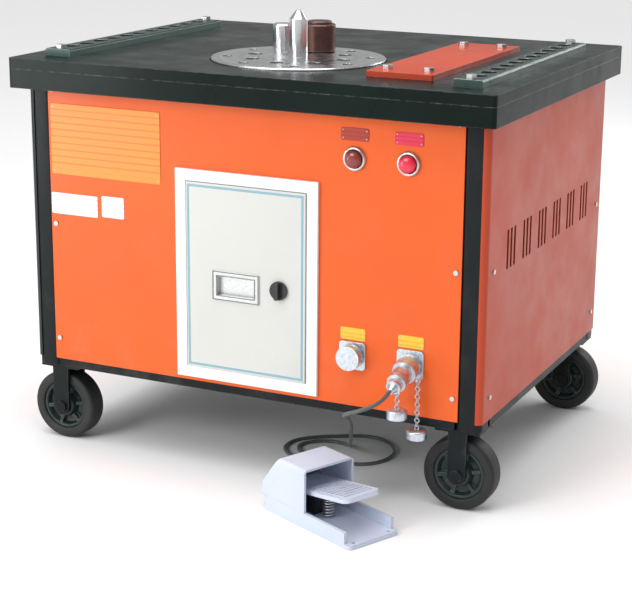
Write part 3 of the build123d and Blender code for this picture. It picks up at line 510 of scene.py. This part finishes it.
def make_cable():
    points = [machine + Vector(point) / 1000 for point in CABLE_POINTS]
    curve = bpy.data.curves.new("foot_switch_cable", "CURVE")
    curve.dimensions = "3D"
    curve.bevel_depth = CABLE_DIAMETER / 2
    curve.bevel_resolution = 5
    curve.use_fill_caps = True
    spline = curve.splines.new("NURBS")
    spline.points.add(len(points) - 1)
    for slot, point in zip(spline.points, points):
        slot.co = (*point, 1)
    spline.order_u = 3
    spline.use_endpoint_u = True
    spline.resolution_u = 8
    curve.materials.append(mat_cable)
    cable = add_object("foot_switch_cable", curve)
    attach(cable, "machine")
    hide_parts("foot_cable")


make_cable()
dress_nodes()


def make_wheels():
    for place in ("front_left", "front_right", "rear_left", "rear_right"):
        low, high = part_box("wheel_" + place)
        middle = (low + high) / 2
        radius = (high.z - low.z) / 2
        half = (high.y - low.y) / 2 - 0.001
        inner = radius - 0.020
        body = place + "_wheel"
        tread = rounded([(inner, -half + 0.002), (inner + 0.004, -half), (radius - 0.004, -half),
                         (radius, -half + 0.005), (radius, half - 0.005), (radius - 0.004, half),
                         (inner + 0.004, half), (inner, half - 0.002)], 0.003)
        builder = lathe(bmesh.new(), tread, middle, (0, 1, 0), 96)
        piece("tyre_" + place, builder, mat_tyre, body, ["wheel_" + place])
        web = 0.006
        rim = inner + 0.0005
        profile = [(0.0085, -half - 0.001), (0.020, -half - 0.001), (0.022, -half + 0.004), (0.025, -web),
                   (rim - 0.010, -web), (rim - 0.006, -half + 0.004), (rim, -half + 0.004),
                   (rim, half - 0.004), (rim - 0.006, half - 0.004), (rim - 0.010, web),
                   (0.025, web), (0.022, half - 0.004), (0.020, half + 0.001), (0.0085, half + 0.001)]
        builder = lathe(bmesh.new(), rounded(profile, 0.002), middle, (0, 1, 0), 72)
        for rib in range(6):
            angle = math.radians(60 * rib + 12)
            outward = Vector((math.cos(angle), 0, math.sin(angle)))
            box = bmesh.ops.create_cube(builder, size=1)["verts"]
            scale = Matrix.Diagonal((rim - 0.026, 2 * half - 0.014, 0.006, 1))
            turn = Matrix.Rotation(-angle, 4, "Y")
            centre = middle + outward * (0.022 + (rim - 0.022) / 2)
            bmesh.ops.transform(builder, matrix=Matrix.Translation(centre) @ turn @ scale, verts=box)
        piece("hub_" + place, builder, mat_hub, body)


def make_buttons():
    for name, material, slot_name in (("left_button", mat_brown, "dark_plastic"),
                                      ("right_button", mat_red, "red_plastic")):
        low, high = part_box(name)
        centre = Vector(((low.x + high.x) / 2, 0, (low.z + high.z) / 2))
        radius = (high.x - low.x) / 2
        profile = [(0.0, -low.y + 0.0035), (radius * 0.5, -low.y + 0.0028), (radius * 0.82, -low.y + 0.001),
                   (radius * 0.97, -low.y - 0.002), (radius, -low.y - 0.005), (radius, -front + 0.0045),
                   (radius - 0.005, -front + 0.0045), (radius - 0.005, -high.y), (0.0, -high.y)]
        builder = lathe(bmesh.new(), rounded(profile, 0.0015), centre, (0, -1, 0), 64)
        piece(name + "_cap", builder, material, name, [name])
        bezel = bmesh.new()
        outer = radius + 0.006
        ring = [(radius + 0.0008, -front), (radius + 0.0008, -front + 0.005),
                (radius + 0.0025, -front + 0.0062),
                (outer - 0.001, -front + 0.0055), (outer, -front + 0.003), (outer, -front)]
        lathe(bezel, rounded(ring, 0.0006), centre, (0, -1, 0), 72)
        for tooth in range(36):
            angle = math.radians(tooth * 10)
            place = centre + Vector((math.cos(angle) * outer, front - 0.0018, math.sin(angle) * outer))
            bmesh.ops.create_icosphere(bezel, subdivisions=1, radius=0.0009, matrix=Matrix.Translation(place))
        replaced = ["button_bezels"] if name == "left_button" else []
        piece(name + "_bezel", bezel, mat_zinc, "machine", replaced)


# Blank plates: name, left, right, bottom and top edge from the middle of the machine, in metres
PLATES = [
    ("instruction_plate", -0.407, -0.173, 0.530, 0.662),
    ("long_name_plate", -0.410, -0.309, 0.454, 0.494),
    ("short_name_plate", -0.300, -0.252, 0.457, 0.497),
    ("left_button_plate", 0.186, 0.238, 0.644, 0.666),
    ("right_button_plate", 0.286, 0.338, 0.644, 0.666),
    ("left_socket_plate", 0.189, 0.237, 0.290, 0.312),
    ("right_socket_plate", 0.299, 0.347, 0.290, 0.312),
]


def make_plates():
    instruction = lined_plate("instruction_sheet", (0.84, 0.27, 0.035), (0.70, 0.13, 0.02),
                              0.0125, 0.540, 0.652)
    long_plate = lined_plate("name_sheet", (0.72, 0.76, 0.82), (0.35, 0.42, 0.55), 0.009, 0.460, 0.488, 0.3)
    short_plate = lined_plate("small_name_sheet", (0.66, 0.72, 0.80), (0.40, 0.46, 0.60),
                              0.009, 0.463, 0.491, 0.3)
    dark_red = lined_plate("dark_red_sheet", (0.40, 0.035, 0.015), (0.26, 0.02, 0.01), 0.007, 0.648, 0.662)
    crimson = lined_plate("crimson_sheet", (0.72, 0.018, 0.075), (0.45, 0.01, 0.04), 0.007, 0.648, 0.662)
    yellow = lined_plate("yellow_sheet", (0.86, 0.50, 0.03), (0.60, 0.30, 0.02), 0.007, 0.294, 0.308)
    sheets = [instruction, long_plate, short_plate, dark_red, crimson, yellow, yellow]
    thickness = 0.0012
    for (name, x0, x1, z0, z1), sheet in zip(PLATES, sheets):
        centre = Vector((machine.x + (x0 + x1) / 2, front - thickness / 2, (z0 + z1) / 2))
        size = (x1 - x0, thickness, z1 - z0)
        builder = slab(bmesh.new(), centre, size, 0.003)
        replaced = ["label_plates"] if name == "instruction_plate" else []
        piece(name, builder, sheet, "machine", replaced)
        rivets = bmesh.new()
        inset = 0.004 if x1 - x0 < 0.06 else 0.006
        for sx in (-1, 1):
            for sz in (-1, 1):
                corner = (sx * (size[0] / 2 - inset), -thickness / 2, sz * (size[2] / 2 - inset))
                spot = centre + Vector(corner)
                profile = [(0, 0.0009), (0.0010, 0.0007), (0.0016, 0.0), (0.0, -0.0004)]
                lathe(rivets, profile, spot, (0, -1, 0), 16)
        piece(name + "_rivets", rivets, mat_zinc, "machine")


def frame_ring(builder, low, high, width, y0, y1):
    """Flat rectangular ring in the plane of the front panel, from y0 (front) to y1."""
    (x0, z0), (x1, z1) = low, high
    loops = []
    for y in (y0, y1):
        for inset in (0, width):
            loops.append([builder.verts.new((x, y, z)) for x, z in
                          ((x0 + inset, z0 + inset), (x1 - inset, z0 + inset),
                           (x1 - inset, z1 - inset), (x0 + inset, z1 - inset))])
    outer_front, inner_front, outer_back, inner_back = loops
    for first, second in ((outer_front, inner_front), (inner_front, inner_back),
                          (inner_back, outer_back), (outer_back, outer_front)):
        for index in range(4):
            nxt = (index + 1) % 4
            builder.faces.new((first[index], first[nxt], second[nxt], second[index]))
    bmesh.ops.recalc_face_normals(builder, faces=builder.faces)
    return builder


def make_door_trim():
    leaf_low, leaf_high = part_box("door_leaf")
    bead = rubber("door_bead_rubber", (0.22, 0.42, 0.50), 0.5, 400, 0.1)
    reach, inset = 0.0042, 0.004
    ring = frame_ring(bmesh.new(), (leaf_low.x + inset, leaf_low.z + inset),
                      (leaf_high.x - inset, leaf_high.z - inset),
                      reach, leaf_low.y - 0.0002, leaf_low.y + 0.001)
    piece("door_edge_bead", ring, bead, "door")
    pull_low, pull_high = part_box("door_pull")
    # Two thin dark rings on the pull's faceplate stand for the shade in its gaps: painted shadow lines.
    dark = steel("pull_painted_shadow_steel", (0.16, 0.16, 0.16), 0.5, stain=0.2)
    for name, inset, width in (("pull_outer_painted_shadow", 0.001, 0.0022), ("pull_inner_painted_shadow", 0.0085, 0.0018)):
        ring = frame_ring(bmesh.new(), (pull_low.x + inset, pull_low.z + inset),
                          (pull_high.x - inset, pull_high.z - inset),
                          width, pull_low.y - 0.0006, pull_low.y + 0.0006)
        piece(name, ring, dark, "door")


def make_spring():
    low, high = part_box("return_spring")
    middle = (low + high) / 2
    wire = 0.0016
    coil = (high.x - low.x) / 2 - wire
    turns, steps, sides = 8, 24, 8
    builder = bmesh.new()
    rings = []
    for index in range(turns * steps + 1):
        share = index / (turns * steps)
        turn = 2 * math.pi * turns * share
        outward = Vector((math.cos(turn), math.sin(turn), 0))
        rise = share * (high.z - low.z - 2 * wire)
        centre = Vector((middle.x, middle.y, low.z + wire + rise)) + outward * coil
        angles = [2 * math.pi * side / sides for side in range(sides)]
        rings.append([builder.verts.new(centre + wire * (math.cos(a) * outward + Vector((0, 0, math.sin(a)))))
                      for a in angles])
    for first, second in zip(rings, rings[1:]):
        for index in range(sides):
            nxt = (index + 1) % sides
            builder.faces.new((first[index], first[nxt], second[nxt], second[index]))
    builder.faces.new(rings[0])
    builder.faces.new(rings[-1])
    bmesh.ops.recalc_face_normals(builder, faces=builder.faces)
    spring = piece("treadle_spring", builder, mat_zinc, "machine", ["return_spring"])
    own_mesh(spring)


FLOOR_HALF_WIDTH = 30


def make_stage():
    builder = bmesh.new()
    bmesh.ops.create_grid(builder, x_segments=1, y_segments=1, size=FLOOR_HALF_WIDTH)
    mesh = bpy.data.meshes.new("floor")
    builder.to_mesh(mesh)
    builder.free()
    floor = add_object("floor", mesh)
    material, tree, shader, place = start_material("floor_white", (0.90, 0.90, 0.90), 0.6)
    tree.links.new(mix_colour(tree, noise(tree, place, 0.6, 3), (0.88, 0.88, 0.88), (0.92, 0.92, 0.92)),
                   shader.inputs["Base Color"])
    mesh.materials.append(material)


def area_light(name, offset, target, size, power):
    data = bpy.data.lights.new(name, "AREA")
    data.shape = "DISK"
    data.size = size
    data.energy = power
    light = add_object(name, data)
    light.location = machine + Vector(offset)
    direction = machine + Vector(target) - light.location
    light.rotation_euler = direction.to_track_quat("-Z", "Y").to_euler()


def make_light():
    world = bpy.data.worlds.new("studio")
    world.use_nodes = True
    world.node_tree.nodes["Background"].inputs["Color"].default_value = (1, 1, 1, 1)
    world.node_tree.nodes["Background"].inputs["Strength"].default_value = 0.42
    bpy.context.scene.world = world
    area_light("key", (-1.3, -3.6, 2.2), (0, 0, 0.4), 1.8, 62)
    area_light("top", (0.0, -0.4, 4.2), (0, -0.2, 0), 3.4, 50)
    sky = bpy.data.lights.new("skylight", "SUN")
    sky.energy = 1.6
    sky.angle = math.radians(70)
    skylight = add_object("skylight", sky)
    skylight.rotation_euler = (math.radians(10), math.radians(-6), 0)
    area_light("back", (1.6, 3.2, 1.8), (0, 0, 0.7), 2.0, 40)
    area_light("low", (-2.4, -2.6, 0.5), (0, 0, 0.1), 1.2, 22)
    bpy.context.scene.view_settings.view_transform = "Standard"


make_wheels()
make_buttons()
make_plates()
make_door_trim()
make_spring()
make_stage()
make_light()
